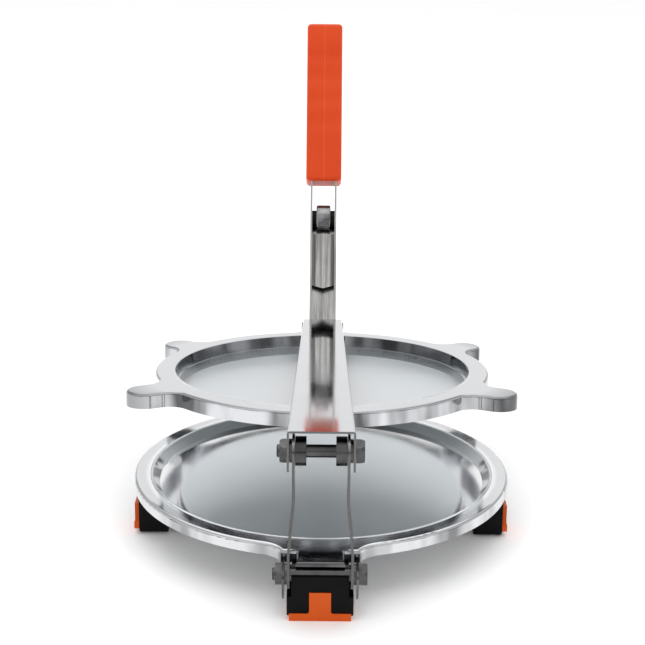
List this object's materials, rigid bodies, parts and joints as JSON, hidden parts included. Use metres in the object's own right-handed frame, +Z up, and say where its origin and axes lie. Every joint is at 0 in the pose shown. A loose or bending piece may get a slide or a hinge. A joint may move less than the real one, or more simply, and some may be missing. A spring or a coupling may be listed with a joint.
{
  "type": "tortilla press",
  "caption": "Hand press with a round recessed base on rubber feet, a lidded upper plate raised on links, a channel brace and a folding lever with a roller and an orange grip.",
  "frame": {"origin": "middle of the footprint of the part's box at rest, on the surface it stands on", "axes": "+Z up, the hinge end with the links faces -Y, the lever end faces +Y"},
  "size_m": [0.2098, 0.419, 0.2388],
  "materials": {
    "stainless": "polished",
    "hardware": "satin",
    "rubber": "matte",
    "orange_plastic": "glossy",
    "black_nylon": "matte"
  },
  "bodies": {
    "base": {"base_plate": "stainless", "front_foot": "rubber", "left_foot": "rubber", "right_foot": "rubber", "rear_foot": "rubber", "front_foot_insert": "orange_plastic", "left_foot_insert": "orange_plastic", "right_foot_insert": "orange_plastic", "rear_foot_insert": "orange_plastic", "foot_studs": "hardware", "lower_hinge_bolt": "hardware", "lower_hinge_nut": "hardware", "lower_hinge_sleeve": "hardware", "lower_hinge_washers": "hardware"},
    "links": {"left_link": "stainless", "right_link": "stainless"},
    "upper": {"upper_plate": "stainless", "brace_channel": "stainless", "upper_hinge_bolt": "hardware", "upper_hinge_nut": "hardware", "upper_hinge_rings": "hardware", "upper_hinge_washers": "hardware", "lever_pin": "hardware", "lever_washers": "hardware"},
    "lever": {"lever_channel": "stainless", "lever_liner": "stainless", "grip": "orange_plastic", "roller_pin": "hardware", "roller_washers": "black_nylon"},
    "roller": {"press_roller": "hardware"}
  },
  "joints": [
    {"name": "link_fold", "type": "hinge", "parent": "base", "child": "links", "pos_m": [0, -0.19804, 0.0205], "axis": [1, 0, 0], "range_deg": [0, 71.3]},
    {"name": "plate_level", "type": "hinge", "parent": "links", "child": "upper", "pos_m": [0, -0.19804, 0.0823], "axis": [1, 0, 0], "range_deg": [-67.1, 0]},
    {"name": "lever_swing", "type": "hinge", "parent": "upper", "child": "lever", "pos_m": [0, 0.09878, 0.05146], "axis": [1, 0, 0], "range_deg": [0, 105]},
    {"name": "roller_spin", "type": "hinge", "parent": "lever", "child": "roller", "pos_m": [0, 0.1428, 0.11534], "axis": [1, 0, 0], "continuous": true}
  ],
  "couplings": [
    {"joint": "plate_level", "follows": "link_fold", "ratio": -0.94}
  ]
}
